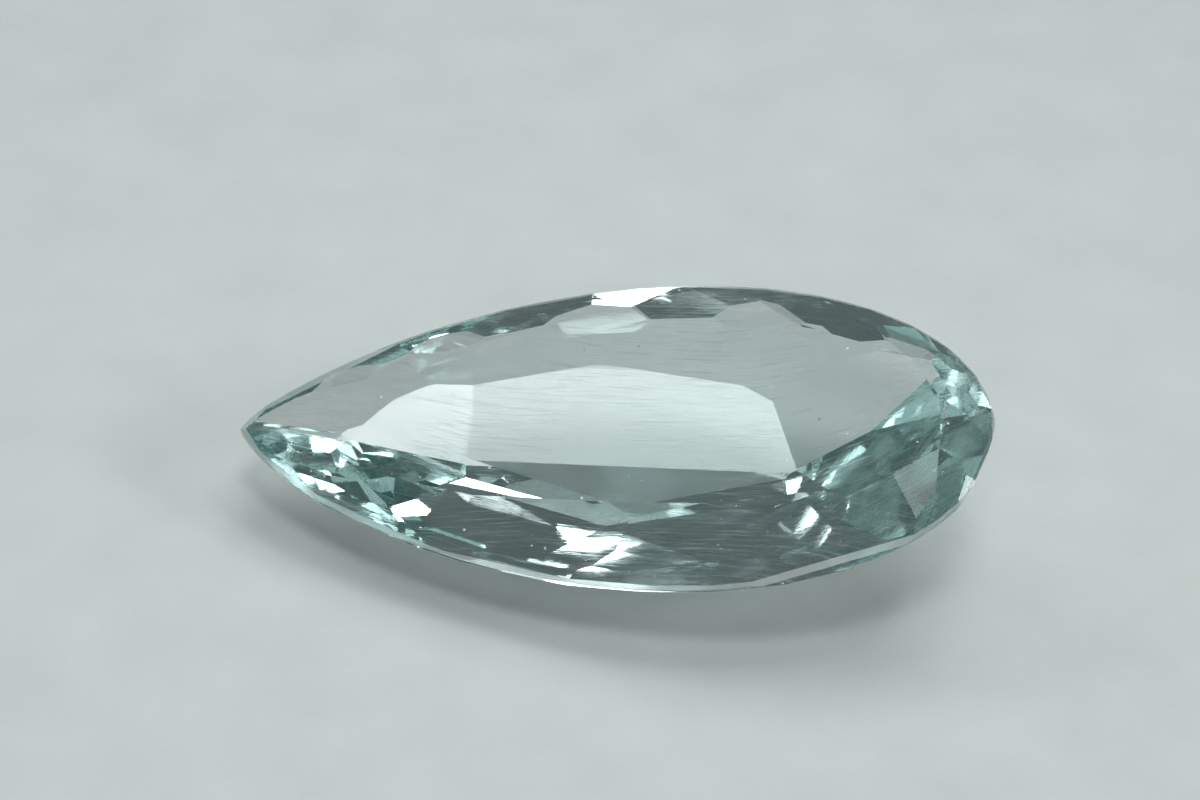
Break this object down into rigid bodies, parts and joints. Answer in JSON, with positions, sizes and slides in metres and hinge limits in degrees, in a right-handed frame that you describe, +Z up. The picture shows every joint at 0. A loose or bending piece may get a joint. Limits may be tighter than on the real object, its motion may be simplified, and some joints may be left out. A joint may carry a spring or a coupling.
{
  "type": "pear-cut aquamarine gemstone",
  "caption": "Pear-cut pale blue-green aquamarine with a flat table, a faceted crown and a keeled pavilion, lying on one pavilion facet.",
  "frame": {"origin": "middle of the stone's footprint box, on the surface it lies on", "axes": "+X from the pear's point to its round end, +Y towards the raised far edge, +Z up; the table faces up and towards -Y"},
  "size_m": [0.0298, 0.0148, 0.0079],
  "materials": {
    "aquamarine": "polished flat facets, see-through pale blue-green beryl, refractive index 1.577"
  },
  "bodies": {
    "root": {"aquamarine": "aquamarine"}
  },
  "joints": []
}
